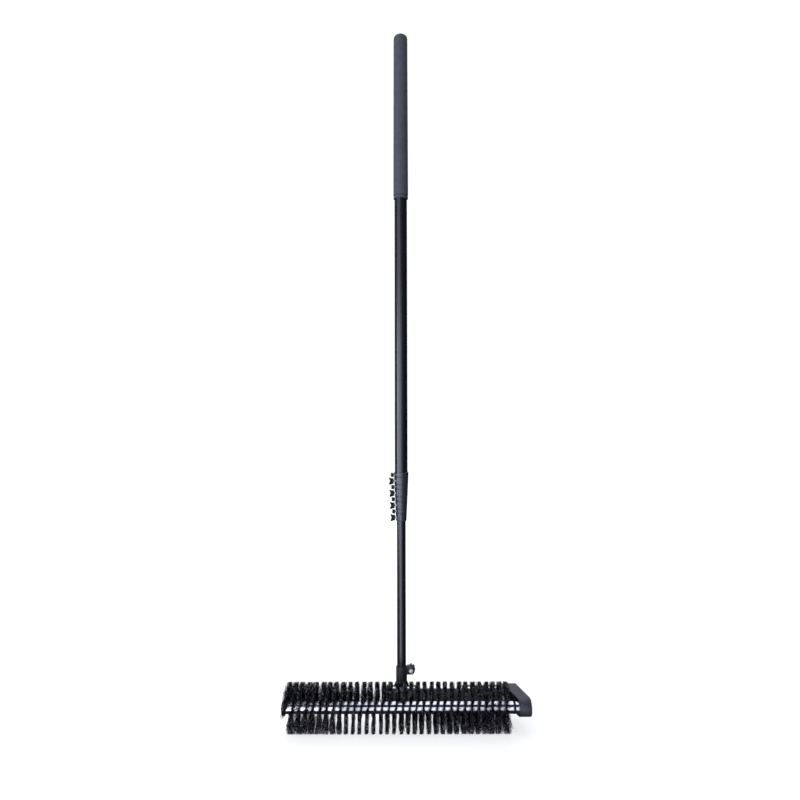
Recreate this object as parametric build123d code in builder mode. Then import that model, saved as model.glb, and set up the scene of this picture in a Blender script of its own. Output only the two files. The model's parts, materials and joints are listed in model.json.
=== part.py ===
from build123d import *
import math
import os

os.makedirs("parts", exist_ok=True)

# Roller brush sweeper on a telescopic pole. Millimetres, +Z up along the pole, the roller along X,
# and -Y towards the user's front. The origin is the middle of the hand grip, on the pole's axis.
# Every height below is measured up from the floor that the brush rolls on.

# ---- driving dimensions ----
GRIP_MIDDLE = 1127
GRIP_BOTTOM = 973
GRIP_TOP = 1281
GRIP_TOP_RADIUS = 13
GRIP_BOTTOM_RADIUS = 13.9
GRIP_TOP_WALL = 6
GRIP_TOP_ROUNDING = 8
GRIP_BOTTOM_ROUNDING = 0.8

TUBE_WALL = 1.2
UPPER_RADIUS = 11.9
END_PLUG_CAP = 1
UPPER_TOP = GRIP_TOP - GRIP_TOP_WALL - END_PLUG_CAP
LOWER_RADIUS = 8.3
LOWER_BOTTOM = 66
LOWER_TOP = 750
FIT = 0.05
GAP = 0.3

COLLAR_BOTTOM = 369.1
COLLAR_TOP_RADIUS = 13.7
COLLAR_BOTTOM_RADIUS = 9.9
RING_PAIRS = 4
SHORT_RING = 8.9
TALL_RING = 13.9
RING_WALL = 0.8
RING_CHAMFER = 0.45
SCREW_AZIMUTH = 205

SOCKET_TOP = 95.6
SOCKET_RADIUS = 10.3
SOCKET_FOOT = 59.5
SOCKET_FLOOR = 62.2
EAR_HALF_WIDTH = 6.5
EAR_THICKNESS = 2.5
EAR_BOTTOM = 36

PLATE_THICKNESS = 4
PLATE_LEFT = -28
PLATE_RIGHT = 203
PLATE_BOTTOM = 29.5
PLATE_TOP = 53.2
LUG_TOP = SOCKET_FOOT
SLOT_TOP = 57.2

ROLLER_RADIUS = 43.5
AXLE_Y = -55
AXLE_HEIGHT = ROLLER_RADIUS
AXLE_RADIUS = 5
CORE_RADIUS = 10.5
CORE_WALL = 1.5
CORE_LEFT = -209
CORE_RIGHT = 199.8
BRISTLE_LEFT = -208.5
BRISTLE_RIGHT = 197
BRISTLE_TURNS = 33
BRISTLE_PITCH = (BRISTLE_RIGHT - BRISTLE_LEFT) / BRISTLE_TURNS
CHANNEL_WIDTH = 3.4
CHANNEL_HEIGHT = 1.3

ARM_BOSS_RADIUS = 15.5
ARM_BACK = 9
ARM_PAD_X = 209.6

# ---- derived dimensions ----
UPPER_BORE = UPPER_RADIUS - TUBE_WALL
LOWER_BORE = LOWER_RADIUS - TUBE_WALL
CORE_BORE = CORE_RADIUS - CORE_WALL
COLLAR_TOP = COLLAR_BOTTOM + RING_PAIRS * (SHORT_RING + TALL_RING)
UPPER_BOTTOM = COLLAR_TOP - SHORT_RING


def above_floor(height):
    """The Z of a height above the floor."""
    return height - GRIP_MIDDLE


def collar_radius(height):
    """Outer radius of the tapered collar at a height."""
    share = (height - COLLAR_BOTTOM) / (COLLAR_TOP - COLLAR_BOTTOM)
    return COLLAR_BOTTOM_RADIUS + share * (COLLAR_TOP_RADIUS - COLLAR_BOTTOM_RADIUS)


def level(height):
    """Horizontal plane at a height above the floor."""
    return Plane.XY.offset(above_floor(height))


def roller_plane(x):
    """Plane across the roller's axis at x, facing +X."""
    return Plane(origin=(x, AXLE_Y, above_floor(AXLE_HEIGHT)), x_dir=(0, 1, 0), z_dir=(1, 0, 0))


def front_plane(x, y, height):
    """Upright plane that faces -Y, with its origin at a point."""
    return Plane(origin=(x, y, above_floor(height)), x_dir=(1, 0, 0), z_dir=(0, -1, 0))


ROLLER_AXIS = Axis((0, AXLE_Y, above_floor(AXLE_HEIGHT)), (1, 0, 0))
ROLLER_SECTION = front_plane(0, AXLE_Y, AXLE_HEIGHT)

# ---- pole, upper part ----
with BuildPart() as grip_sleeve:
    with BuildSketch(Plane.XZ):
        with BuildLine():
            Polyline(
                (UPPER_RADIUS, above_floor(GRIP_BOTTOM)),
                (GRIP_BOTTOM_RADIUS, above_floor(GRIP_BOTTOM)),
                (GRIP_TOP_RADIUS, above_floor(GRIP_TOP)),
                (0, above_floor(GRIP_TOP)),
                (0, above_floor(GRIP_TOP - GRIP_TOP_WALL)),
                (UPPER_RADIUS, above_floor(GRIP_TOP - GRIP_TOP_WALL)),
                close=True,
            )
        make_face()
    revolve(axis=Axis.Z)
    fillet(faces().sort_by(Axis.Z)[-1].edges(), GRIP_TOP_ROUNDING)
    fillet(faces().sort_by(Axis.Z)[0].outer_wire().edges(), GRIP_BOTTOM_ROUNDING)
grip_sleeve.part.label = "grip_sleeve"
export_step(grip_sleeve.part, "parts/grip_sleeve.step")

END_PLUG_DEPTH = 22
END_PLUG_WALL = 2
END_PLUG_FLOOR = 3
with BuildPart() as pole_end_plug:
    with BuildSketch(level(UPPER_TOP - END_PLUG_DEPTH)):
        Circle(UPPER_BORE)
    extrude(amount=END_PLUG_DEPTH)
    with BuildSketch(level(UPPER_TOP)):
        Circle(UPPER_RADIUS)
    extrude(amount=END_PLUG_CAP)
    with BuildSketch(level(UPPER_TOP - END_PLUG_DEPTH)):
        Circle(UPPER_BORE - END_PLUG_WALL)
    extrude(amount=END_PLUG_DEPTH - END_PLUG_FLOOR, mode=Mode.SUBTRACT)
pole_end_plug.part.label = "pole_end_plug"
export_step(pole_end_plug.part, "parts/pole_end_plug.step")

with BuildPart() as upper_tube:
    with BuildSketch(level(UPPER_BOTTOM)):
        Circle(UPPER_RADIUS)
        Circle(UPPER_BORE, mode=Mode.SUBTRACT)
    extrude(amount=UPPER_TOP - UPPER_BOTTOM)
upper_tube.part.label = "upper_tube"
export_step(upper_tube.part, "parts/upper_tube.step")

GUIDE_LENGTH = 42
with BuildPart() as guide_bush:
    with BuildSketch(level(UPPER_BOTTOM)):
        Circle(UPPER_BORE)
        Circle(LOWER_RADIUS + FIT, mode=Mode.SUBTRACT)
    extrude(amount=GUIDE_LENGTH)
guide_bush.part.label = "guide_bush"
export_step(guide_bush.part, "parts/guide_bush.step")

# ---- collar: a tapered sleeve under eight stacked clamp rings, each with one radial screw ----
SCREW_OUT = Vector(math.cos(math.radians(SCREW_AZIMUTH)), math.sin(math.radians(SCREW_AZIMUTH)), 0)
SMALL_SCREW_RADIUS = 1.6
WING_STUD_RADIUS = 2
SCREW_REACH = 20


def screw_plane(height, distance):
    """Plane across a collar screw at a distance from the pole's axis, facing outwards."""
    origin = SCREW_OUT * distance + Vector(0, 0, above_floor(height))
    return Plane(origin=origin, x_dir=(0, 0, 1), z_dir=SCREW_OUT)


def screw_side_plane(height, distance):
    """Upright plane through a collar screw: its x runs outwards along the screw and its y runs up."""
    origin = SCREW_OUT * distance + Vector(0, 0, above_floor(height))
    return Plane(origin=origin, x_dir=SCREW_OUT, z_dir=SCREW_OUT.cross(Vector(0, 0, 1)))


rings = []
ring_top = COLLAR_TOP
for _ in range(RING_PAIRS):
    rings.append((ring_top - SHORT_RING, ring_top, SMALL_SCREW_RADIUS))
    rings.append((ring_top - SHORT_RING - TALL_RING, ring_top - SHORT_RING, WING_STUD_RADIUS + FIT))
    ring_top -= SHORT_RING + TALL_RING

with BuildPart() as collar_sleeve:
    with BuildSketch(Plane.XZ):
        with BuildLine():
            Polyline(
                (LOWER_RADIUS + FIT, above_floor(COLLAR_BOTTOM)),
                (COLLAR_BOTTOM_RADIUS - RING_WALL, above_floor(COLLAR_BOTTOM)),
                (COLLAR_TOP_RADIUS - RING_WALL, above_floor(COLLAR_TOP)),
                (UPPER_RADIUS, above_floor(COLLAR_TOP)),
                (UPPER_RADIUS, above_floor(UPPER_BOTTOM)),
                (LOWER_RADIUS + FIT, above_floor(UPPER_BOTTOM)),
                close=True,
            )
        make_face()
    revolve(axis=Axis.Z)
    for low, high, hole_radius in rings:
        with BuildSketch(screw_plane((low + high) / 2, 0)):
            Circle(hole_radius)
        extrude(amount=SCREW_REACH, mode=Mode.SUBTRACT)
collar_sleeve.part.label = "collar_sleeve"
export_step(collar_sleeve.part, "parts/collar_sleeve.step")

for number, (low, high, hole_radius) in enumerate(rings, start=1):
    with BuildPart() as clamp_ring:
        with BuildSketch(Plane.XZ):
            with BuildLine():
                Polyline(
                    (collar_radius(low) - RING_WALL, above_floor(low)),
                    (collar_radius(low) - RING_CHAMFER, above_floor(low)),
                    (collar_radius(low + RING_CHAMFER), above_floor(low + RING_CHAMFER)),
                    (collar_radius(high - RING_CHAMFER), above_floor(high - RING_CHAMFER)),
                    (collar_radius(high) - RING_CHAMFER, above_floor(high)),
                    (collar_radius(high) - RING_WALL, above_floor(high)),
                    close=True,
                )
            make_face()
        revolve(axis=Axis.Z)
        with BuildSketch(screw_plane((low + high) / 2, 0)):
            Circle(hole_radius)
        extrude(amount=SCREW_REACH, mode=Mode.SUBTRACT)
    clamp_ring.part.label = f"clamp_ring_{number}"
    export_step(clamp_ring.part, f"parts/clamp_ring_{number}.step")

# Square-head screws sit in the short rings and press on the tube under the sleeve.
SHANK_SHOWN = 3.6
SQUARE_HEAD = 7.4
SQUARE_HEAD_LENGTH = 2.8
SQUARE_HEAD_ROUNDING = 0.6
with BuildPart() as square_screws:
    for low, high, hole_radius in rings[::2]:
        middle = (low + high) / 2
        inner = (UPPER_RADIUS if middle > UPPER_BOTTOM else LOWER_RADIUS) + GAP
        with BuildSketch(screw_plane(middle, inner)):
            Circle(hole_radius)
        extrude(amount=collar_radius(middle) + SHANK_SHOWN - inner)
square_screws.part.label = "square_screws"
export_step(square_screws.part, "parts/square_screws.step")

with BuildPart() as square_heads:
    for low, high, _ in rings[::2]:
        middle = (low + high) / 2
        with BuildSketch(screw_plane(middle, collar_radius(middle) + SHANK_SHOWN)):
            RectangleRounded(SQUARE_HEAD, SQUARE_HEAD, SQUARE_HEAD_ROUNDING)
        extrude(amount=SQUARE_HEAD_LENGTH)
square_heads.part.label = "square_heads"
export_step(square_heads.part, "parts/square_heads.step")

# Thumb screws sit in the tall rings: a bright stud with a moulded two-horned head on a small hub.
WING_HUB_RADIUS = 3.4
WING_HUB_LENGTH = 3
WING_HUB_CHAMFER = 0.4
WING_WAIST = 5.2
WING_WAIST_AT = 3.8
WING_HALF_SPAN = 6.6
WING_LENGTH = 7.8
WING_NOTCH = 5.4
WING_TIP = 1
WING_THICKNESS = 4.4
STUD_END_COVER = 1
for number, (low, high, hole_radius) in enumerate(rings[1::2], start=1):
    middle = (low + high) / 2
    inner = (UPPER_RADIUS if middle > UPPER_BOTTOM else LOWER_RADIUS) + GAP
    head_start = collar_radius(middle) + SHANK_SHOWN
    with BuildPart() as wing_stud:
        with BuildSketch(screw_plane(middle, inner)):
            Circle(WING_STUD_RADIUS)
        extrude(amount=head_start + WING_HUB_LENGTH - STUD_END_COVER - inner)
    wing_stud.part.label = f"wing_stud_{number}"
    export_step(wing_stud.part, f"parts/wing_stud_{number}.step")

    with BuildPart() as wing_head:
        with BuildSketch(screw_plane(middle, head_start)):
            Circle(WING_HUB_RADIUS)
        extrude(amount=WING_HUB_LENGTH)
        chamfer(edges().filter_by(GeomType.CIRCLE), WING_HUB_CHAMFER)
        with BuildSketch(screw_side_plane(middle, head_start)):
            with BuildLine():
                Polyline(
                    (0, -WING_WAIST),
                    (WING_WAIST_AT, -WING_WAIST),
                    (WING_LENGTH - WING_TIP, -WING_HALF_SPAN),
                    (WING_LENGTH, -WING_HALF_SPAN + WING_TIP),
                    (WING_NOTCH, 0),
                    (WING_LENGTH, WING_HALF_SPAN - WING_TIP),
                    (WING_LENGTH - WING_TIP, WING_HALF_SPAN),
                    (WING_WAIST_AT, WING_WAIST),
                    (0, WING_WAIST),
                    close=True,
                )
            make_face()
        extrude(amount=WING_THICKNESS / 2, both=True)
        with BuildSketch(screw_plane(middle, head_start)):
            Circle(WING_STUD_RADIUS)
        extrude(amount=WING_HUB_LENGTH - STUD_END_COVER, mode=Mode.SUBTRACT)
    wing_head.part.label = f"wing_head_{number}"
    export_step(wing_head.part, f"parts/wing_head_{number}.step")

# ---- pole, lower part, which slides in the upper tube ----
with BuildPart() as lower_tube:
    with BuildSketch(level(LOWER_BOTTOM)):
        Circle(LOWER_RADIUS)
        Circle(LOWER_BORE, mode=Mode.SUBTRACT)
    extrude(amount=LOWER_TOP - LOWER_BOTTOM)
lower_tube.part.label = "lower_tube"
export_step(lower_tube.part, "parts/lower_tube.step")

STOP_SPIGOT = 18
STOP_HEIGHT = 26
with BuildPart() as tube_stop:
    with BuildSketch(level(LOWER_TOP - STOP_SPIGOT)):
        Circle(LOWER_BORE)
    extrude(amount=STOP_SPIGOT)
    with BuildSketch(level(LOWER_TOP)):
        Circle(UPPER_BORE - FIT)
    extrude(amount=STOP_HEIGHT)
tube_stop.part.label = "tube_stop"
export_step(tube_stop.part, "parts/tube_stop.step")

TIP_SPIGOT = 16
TIP_FLANGE = 2.5
with BuildPart() as tube_tip:
    with BuildSketch(level(LOWER_BOTTOM)):
        Circle(LOWER_BORE)
    extrude(amount=TIP_SPIGOT)
    with BuildSketch(level(LOWER_BOTTOM - TIP_FLANGE)):
        Circle(LOWER_RADIUS)
    extrude(amount=TIP_FLANGE)
tube_tip.part.label = "tube_tip"
export_step(tube_tip.part, "parts/tube_tip.step")

# ---- pole socket: a pinch clamp round the lower tube, with two ears over the bracket plate ----
KNOB_X = 17.8
KNOB_HEIGHT = 88.2
KNOB_STUD_RADIUS = 2.6
LUG_END_RADIUS = 7
LUG_HALF_DEPTH = 4.6
NUT_RECESS_RADIUS = 5.2
NUT_RECESS_DEPTH = 1.2
SPLIT = 1.6
SPLIT_BOTTOM = 78
SPLIT_RIGHT = KNOB_X + LUG_END_RADIUS + 1
SOCKET_TOP_CHAMFER = 0.8
SOCKET_FOOT_CHAMFER = 1.8
FLARE_HALF_WIDTH = 13.5
FLARE_EDGE = 1
FLARE_HEIGHT = 7
EAR_OVERLAP = 0.6
EAR_ROUNDING = 0.5
FOOT_BOLT_RADIUS = 2.4
FOOT_BOLT_HEIGHTS = (55.2, 42.5)
PLATE_FACE = PLATE_THICKNESS / 2
EAR_FACE = PLATE_FACE + EAR_THICKNESS

with BuildPart() as pole_socket:
    with BuildSketch(Plane.XZ):
        with BuildLine():
            Polyline(
                (0, above_floor(SOCKET_FOOT)),
                (SOCKET_RADIUS - SOCKET_FOOT_CHAMFER, above_floor(SOCKET_FOOT)),
                (SOCKET_RADIUS, above_floor(SOCKET_FOOT + SOCKET_FOOT_CHAMFER)),
                (SOCKET_RADIUS, above_floor(SOCKET_TOP - SOCKET_TOP_CHAMFER)),
                (SOCKET_RADIUS - SOCKET_TOP_CHAMFER, above_floor(SOCKET_TOP)),
                (0, above_floor(SOCKET_TOP)),
                close=True,
            )
        make_face()
    revolve(axis=Axis.Z)
    with BuildSketch(front_plane(0, LUG_HALF_DEPTH, KNOB_HEIGHT)):
        with Locations((KNOB_X / 2, 0)):
            Rectangle(KNOB_X, 2 * LUG_END_RADIUS)
        with Locations((KNOB_X, 0)):
            Circle(LUG_END_RADIUS)
    extrude(amount=2 * LUG_HALF_DEPTH)
    with BuildSketch(front_plane(KNOB_X, NUT_RECESS_DEPTH - LUG_HALF_DEPTH, KNOB_HEIGHT)):
        Circle(NUT_RECESS_RADIUS)
    extrude(amount=NUT_RECESS_DEPTH, mode=Mode.SUBTRACT)
    with BuildSketch(front_plane(0, EAR_FACE, SOCKET_FOOT)):
        with BuildLine():
            Polyline(
                (-FLARE_HALF_WIDTH, 0),
                (FLARE_HALF_WIDTH, 0),
                (FLARE_HALF_WIDTH, FLARE_EDGE),
                (SOCKET_RADIUS, FLARE_HEIGHT),
                (-SOCKET_RADIUS, FLARE_HEIGHT),
                (-FLARE_HALF_WIDTH, FLARE_EDGE),
                close=True,
            )
        make_face()
    extrude(amount=2 * EAR_FACE)
    for side in (-1, 1):
        with BuildSketch(front_plane(0, side * (PLATE_FACE + EAR_FACE) / 2, SOCKET_FOOT)):
            with Locations((0, (EAR_BOTTOM - SOCKET_FOOT) / 2)):
                RectangleRounded(2 * EAR_HALF_WIDTH, SOCKET_FOOT - EAR_BOTTOM + EAR_OVERLAP, EAR_ROUNDING)
        extrude(amount=EAR_THICKNESS / 2, both=True)
    with BuildSketch(level(SOCKET_FLOOR)):
        Circle(LOWER_RADIUS + FIT)
    extrude(amount=SOCKET_TOP - SOCKET_FLOOR, mode=Mode.SUBTRACT)
    with BuildSketch(level(SPLIT_BOTTOM)):
        with Locations((SPLIT_RIGHT / 2, 0)):
            Rectangle(SPLIT_RIGHT, SPLIT)
    extrude(amount=SOCKET_TOP - SPLIT_BOTTOM, mode=Mode.SUBTRACT)
    with BuildSketch(front_plane(KNOB_X, LUG_HALF_DEPTH, KNOB_HEIGHT)):
        Circle(KNOB_STUD_RADIUS + FIT)
    extrude(amount=2 * LUG_HALF_DEPTH, mode=Mode.SUBTRACT)
    for bolt_height in FOOT_BOLT_HEIGHTS:
        with BuildSketch(front_plane(0, EAR_FACE, bolt_height)):
            Circle(FOOT_BOLT_RADIUS)
        extrude(amount=2 * EAR_FACE, mode=Mode.SUBTRACT)
pole_socket.part.label = "pole_socket"
export_step(pole_socket.part, "parts/pole_socket.step")

# ---- clamp knob behind the lug: its stud runs through to a nut in the recess at the front ----
KNOB_DEPTH = 7.5
KNOB_CORE_RADIUS = 6.2
KNOB_LOBE_RADIUS = 1.7
KNOB_LOBE_CIRCLE = 6.7
KNOB_LOBES = 7
KNOB_CHAMFER = 0.5
KNOB_BACK = LUG_HALF_DEPTH + GAP + KNOB_DEPTH
KNOB_END_WALL = 2.5
CLAMP_NUT_DEPTH = 3.6
CLAMP_NUT_RADIUS = 3.9
CLAMP_NUT_BACK = NUT_RECESS_DEPTH - LUG_HALF_DEPTH
STUD_SHOWN = 0.8
STUD_CHAMFER = 0.4
with BuildPart() as knob_stud:
    with BuildSketch(front_plane(KNOB_X, KNOB_BACK - KNOB_END_WALL, KNOB_HEIGHT)):
        Circle(KNOB_STUD_RADIUS)
    extrude(amount=KNOB_BACK - KNOB_END_WALL - CLAMP_NUT_BACK + CLAMP_NUT_DEPTH + STUD_SHOWN)
    chamfer(faces().sort_by(Axis.Y)[0].edges(), STUD_CHAMFER)
knob_stud.part.label = "knob_stud"
export_step(knob_stud.part, "parts/knob_stud.step")

with BuildPart() as clamp_knob:
    with BuildSketch(front_plane(KNOB_X, KNOB_BACK, KNOB_HEIGHT)):
        Circle(KNOB_CORE_RADIUS)
        with PolarLocations(KNOB_LOBE_CIRCLE, KNOB_LOBES, start_angle=90):
            Circle(KNOB_LOBE_RADIUS)
    extrude(amount=KNOB_DEPTH)
    chamfer(faces().sort_by(Axis.Y)[-1].outer_wire().edges(), KNOB_CHAMFER)
    with BuildSketch(front_plane(KNOB_X, KNOB_BACK - KNOB_END_WALL, KNOB_HEIGHT)):
        Circle(KNOB_STUD_RADIUS)
    extrude(amount=KNOB_DEPTH - KNOB_END_WALL, mode=Mode.SUBTRACT)
clamp_knob.part.label = "clamp_knob"
export_step(clamp_knob.part, "parts/clamp_knob.step")

with BuildPart() as clamp_nut:
    with BuildSketch(front_plane(KNOB_X, CLAMP_NUT_BACK, KNOB_HEIGHT)):
        RegularPolygon(radius=CLAMP_NUT_RADIUS, side_count=6)
        Circle(KNOB_STUD_RADIUS + FIT, mode=Mode.SUBTRACT)
    extrude(amount=CLAMP_NUT_DEPTH)
clamp_nut.part.label = "clamp_nut"
export_step(clamp_nut.part, "parts/clamp_nut.step")

# ---- bracket plate: flat steel with raised slotted lugs in the middle and at the arm's end ----
RIGHT_LUG_LEFT = 113
CENTRE_SLOTS = ((-25, -8), (8, 25))
RIGHT_SLOTS = ((116, 134), (160, 178))
ARM_BOLT_X = 191
ARM_BOLT_HEIGHTS = (39.5, 51)
ARM_BOLT_RADIUS = 2.4
with BuildPart() as bracket_plate:
    with BuildSketch(front_plane(0, PLATE_FACE, 0)):
        with BuildLine():
            Polyline(
                (PLATE_LEFT, PLATE_BOTTOM),
                (PLATE_RIGHT, PLATE_BOTTOM),
                (PLATE_RIGHT, LUG_TOP),
                (RIGHT_LUG_LEFT, LUG_TOP),
                (RIGHT_LUG_LEFT, PLATE_TOP),
                (-PLATE_LEFT, PLATE_TOP),
                (-PLATE_LEFT, LUG_TOP),
                (PLATE_LEFT, LUG_TOP),
                close=True,
            )
        make_face()
        for left, right in CENTRE_SLOTS + RIGHT_SLOTS:
            with Locations(((left + right) / 2, (PLATE_TOP + SLOT_TOP) / 2)):
                SlotOverall(right - left, SLOT_TOP - PLATE_TOP, mode=Mode.SUBTRACT)
        for bolt_height in FOOT_BOLT_HEIGHTS:
            with Locations((0, bolt_height)):
                Circle(FOOT_BOLT_RADIUS, mode=Mode.SUBTRACT)
        for bolt_height in ARM_BOLT_HEIGHTS:
            with Locations((ARM_BOLT_X, bolt_height)):
                Circle(ARM_BOLT_RADIUS, mode=Mode.SUBTRACT)
    extrude(amount=PLATE_THICKNESS)
bracket_plate.part.label = "bracket_plate"
export_step(bracket_plate.part, "parts/bracket_plate.step")

# ---- side arm: a splayed link from the plate's end to the boss that holds the axle ----
ARM_FRONT_WRAP = -7
ARM_LEFT = 184
ARM_OUTER_BACK = 215.7
ARM_OUTER_FRONT = 231.6
ARM_SHOULDER = -52.5
ARM_INNER_BACK = 198.3
ARM_INNER_FRONT = 213.2
ARM_INNER_BEND = -16
ARM_INNER_STEP = 1
ARM_FRONT = AXLE_Y - ARM_BOSS_RADIUS
PAD_RADIUS = 14
PAD_ROOT = 5
ARM_CHAMFER = 0.9
ARM_SLOT_LEFT = ARM_LEFT - 3
ARM_SLOT_TOP = LUG_TOP + 4
AXLE_RIGHT = 224
AXLE_SCREW_X = 218
AXLE_SCREW_RADIUS = 2
with BuildPart() as side_arm:
    with BuildSketch(roller_plane(ARM_LEFT)):
        Circle(ARM_BOSS_RADIUS)
        with Locations(((ARM_BACK - AXLE_Y) / 2, 0)):
            Rectangle(ARM_BACK - AXLE_Y, 2 * ARM_BOSS_RADIUS)
    extrude(amount=ARM_OUTER_FRONT - ARM_LEFT)
    with BuildSketch(level(AXLE_HEIGHT)):
        with BuildLine():
            Polyline(
                (ARM_INNER_FRONT, ARM_FRONT),
                (ARM_OUTER_FRONT, ARM_FRONT),
                (ARM_OUTER_FRONT, ARM_SHOULDER),
                (ARM_OUTER_BACK, ARM_BACK),
                (ARM_LEFT, ARM_BACK),
                (ARM_LEFT, ARM_FRONT_WRAP),
                (ARM_INNER_BACK - ARM_INNER_STEP, ARM_FRONT_WRAP),
                (ARM_INNER_BACK, ARM_INNER_BEND),
                close=True,
            )
        make_face()
    extrude(amount=2 * ARM_BOSS_RADIUS, both=True, mode=Mode.INTERSECT)
    chamfer(faces().sort_by(Axis.X)[-1].edges(), ARM_CHAMFER)
    with BuildSketch(roller_plane(ARM_PAD_X)):
        Circle(PAD_RADIUS)
    extrude(amount=ARM_LEFT - ARM_PAD_X, mode=Mode.SUBTRACT)
    with BuildSketch(roller_plane(ARM_PAD_X)):
        Circle(PAD_RADIUS)
    extrude(amount=PAD_ROOT)
    with BuildSketch(roller_plane(ARM_PAD_X)):
        Circle(AXLE_RADIUS)
    extrude(amount=AXLE_RIGHT - ARM_PAD_X, mode=Mode.SUBTRACT)
    with BuildSketch(Plane(origin=(AXLE_SCREW_X, AXLE_Y, above_floor(AXLE_HEIGHT)), z_dir=(0, 0, -1))):
        Circle(AXLE_SCREW_RADIUS)
    extrude(amount=ARM_BOSS_RADIUS, mode=Mode.SUBTRACT)
    with BuildSketch(front_plane(0, PLATE_FACE, 0)):
        with BuildLine():
            Polyline(
                (ARM_SLOT_LEFT, PLATE_BOTTOM),
                (PLATE_RIGHT + GAP, PLATE_BOTTOM),
                (PLATE_RIGHT + GAP, ARM_SLOT_TOP),
                (ARM_SLOT_LEFT, ARM_SLOT_TOP),
                close=True,
            )
        make_face()
    extrude(amount=PLATE_THICKNESS, mode=Mode.SUBTRACT)
    for bolt_height in ARM_BOLT_HEIGHTS:
        with BuildSketch(front_plane(ARM_BOLT_X, ARM_BACK, bolt_height)):
            Circle(ARM_BOLT_RADIUS)
        extrude(amount=ARM_BACK - ARM_FRONT_WRAP, mode=Mode.SUBTRACT)
side_arm.part.label = "side_arm"
export_step(side_arm.part, "parts/side_arm.step")

# ---- bolts through the plate: the ears' pair and the arm's pair, each with its nut ----
HEX_RADIUS = 4.2
HEX_HEAD = 2.6
HEX_NUT = 3.6
BOLT_END = 1
bolt_groups = (
    ("foot", 0, FOOT_BOLT_HEIGHTS, FOOT_BOLT_RADIUS, -EAR_FACE, EAR_FACE),
    ("arm", ARM_BOLT_X, ARM_BOLT_HEIGHTS, ARM_BOLT_RADIUS, ARM_FRONT_WRAP, ARM_BACK),
)
for place, bolt_x, bolt_heights, bolt_radius, front, back in bolt_groups:
    with BuildPart() as bolts:
        for bolt_height in bolt_heights:
            with BuildSketch(front_plane(bolt_x, back + HEX_NUT + BOLT_END, bolt_height)):
                Circle(bolt_radius)
            extrude(amount=back + HEX_NUT + BOLT_END - front)
            with BuildSketch(front_plane(bolt_x, front, bolt_height)):
                RegularPolygon(radius=HEX_RADIUS, side_count=6)
            extrude(amount=HEX_HEAD)
    bolts.part.label = f"{place}_bolts"
    export_step(bolts.part, f"parts/{place}_bolts.step")

    with BuildPart() as nuts:
        for bolt_height in bolt_heights:
            with BuildSketch(front_plane(bolt_x, back + HEX_NUT, bolt_height)):
                RegularPolygon(radius=HEX_RADIUS, side_count=6)
                Circle(bolt_radius, mode=Mode.SUBTRACT)
            extrude(amount=HEX_NUT)
    nuts.part.label = f"{place}_nuts"
    export_step(nuts.part, f"parts/{place}_nuts.step")

# ---- axle, held in the arm's boss by a grub screw, with a clip on its free end ----
AXLE_LEFT = -207
CLIP_LEFT = -205.6
CLIP_WIDTH = 2
CLIP_RADIUS = 7.6
CLIP_GROOVE = 0.8
CLIP_MOUTH = 4
AXLE_CHAMFER = 0.6
BEARING_LENGTH = 20
BEARING_LEFT = CLIP_LEFT + CLIP_WIDTH + GAP
with BuildPart() as axle:
    with BuildSketch(roller_plane(AXLE_LEFT)):
        Circle(AXLE_RADIUS)
    extrude(amount=AXLE_RIGHT - AXLE_LEFT)
    chamfer(faces().sort_by(Axis.X)[0].edges(), AXLE_CHAMFER)
    with BuildSketch(roller_plane(CLIP_LEFT)):
        Circle(CLIP_RADIUS)
        Circle(AXLE_RADIUS - CLIP_GROOVE, mode=Mode.SUBTRACT)
    extrude(amount=CLIP_WIDTH, mode=Mode.SUBTRACT)
axle.part.label = "axle"
export_step(axle.part, "parts/axle.step")

with BuildPart() as axle_clip:
    with BuildSketch(roller_plane(CLIP_LEFT)):
        Circle(CLIP_RADIUS)
        Circle(AXLE_RADIUS - CLIP_GROOVE, mode=Mode.SUBTRACT)
        with Locations((0, CLIP_RADIUS / 2)):
            Rectangle(CLIP_MOUTH, CLIP_RADIUS + CLIP_MOUTH, mode=Mode.SUBTRACT)
    extrude(amount=CLIP_WIDTH)
axle_clip.part.label = "axle_clip"
export_step(axle_clip.part, "parts/axle_clip.step")

AXLE_SCREW_LENGTH = 7
with BuildPart() as axle_screw:
    with BuildSketch(
        Plane(origin=(AXLE_SCREW_X, AXLE_Y, above_floor(AXLE_HEIGHT - AXLE_RADIUS)), z_dir=(0, 0, -1))
    ):
        Circle(AXLE_SCREW_RADIUS)
    extrude(amount=AXLE_SCREW_LENGTH)
axle_screw.part.label = "axle_screw"
export_step(axle_screw.part, "parts/axle_screw.step")

SEAL_WIDTH = 3.5
END_RING_CHAMFER = 0.6
with BuildPart() as end_ring:
    with BuildSketch(roller_plane(CORE_RIGHT + SEAL_WIDTH + GAP)):
        Circle(CORE_RADIUS)
        Circle(AXLE_RADIUS, mode=Mode.SUBTRACT)
    extrude(amount=ARM_PAD_X - CORE_RIGHT - SEAL_WIDTH - GAP)
    chamfer(faces().sort_by(Axis.X)[0].outer_wire().edges(), END_RING_CHAMFER)
end_ring.part.label = "end_ring"
export_step(end_ring.part, "parts/end_ring.step")

# ---- roller, which turns on the axle ----
with BuildPart() as core_tube:
    with BuildSketch(roller_plane(CORE_LEFT)):
        Circle(CORE_RADIUS)
        Circle(CORE_BORE, mode=Mode.SUBTRACT)
    extrude(amount=CORE_RIGHT - CORE_LEFT)
core_tube.part.label = "core_tube"
export_step(core_tube.part, "parts/core_tube.step")

for side, bearing_start in (("left", BEARING_LEFT), ("right", CORE_RIGHT - BEARING_LENGTH)):
    with BuildPart() as bearing:
        with BuildSketch(roller_plane(bearing_start)):
            Circle(CORE_BORE)
            Circle(AXLE_RADIUS + FIT, mode=Mode.SUBTRACT)
        extrude(amount=BEARING_LENGTH)
    bearing.part.label = f"bearing_{side}"
    export_step(bearing.part, f"parts/bearing_{side}.step")

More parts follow.
